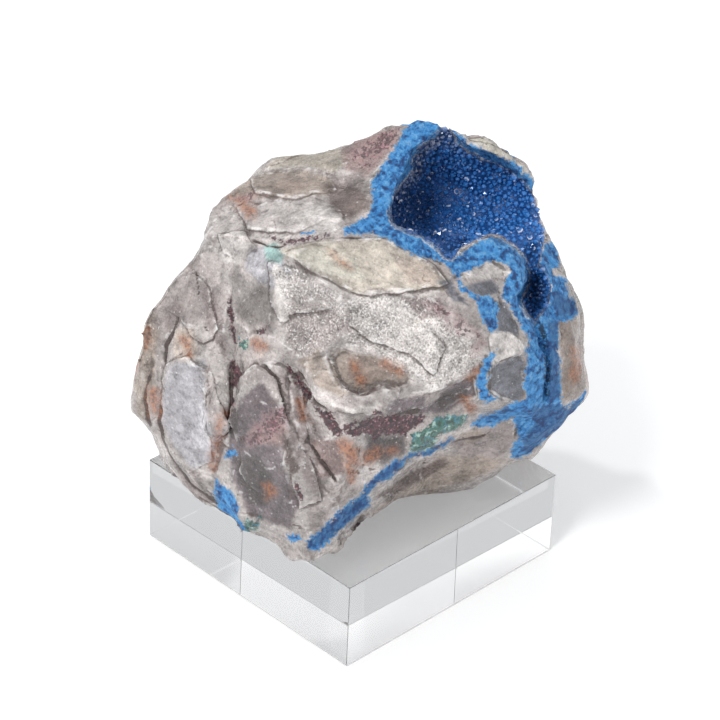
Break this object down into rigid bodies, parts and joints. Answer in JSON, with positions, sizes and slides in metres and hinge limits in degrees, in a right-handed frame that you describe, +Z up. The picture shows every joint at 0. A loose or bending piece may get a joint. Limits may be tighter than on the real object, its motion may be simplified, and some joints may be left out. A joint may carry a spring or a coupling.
{
  "type": "shattuckite specimen",
  "caption": "Broken quartz lump with a blue shattuckite lined druse hollow, resting on a square clear acrylic block.",
  "frame": {"origin": "middle of the underside of the acrylic block", "axes": "+Z up; the block's sides lie along X and Y, and the hollow opens upward and toward the edge between +X and -Y"},
  "size_m": [0.067, 0.0681, 0.0797],
  "materials": {
    "clear_acrylic": "polished clear acrylic",
    "quartz": "broken milky to smoky quartz, grey to beige, with rust and wine-red stains",
    "shattuckite": "fibrous sky-blue band under a glassy dark blue druse"
  },
  "bodies": {
    "root": {"acrylic_block": "clear_acrylic", "quartz_matrix": "quartz", "druse_crust": "shattuckite"}
  },
  "joints": []
}
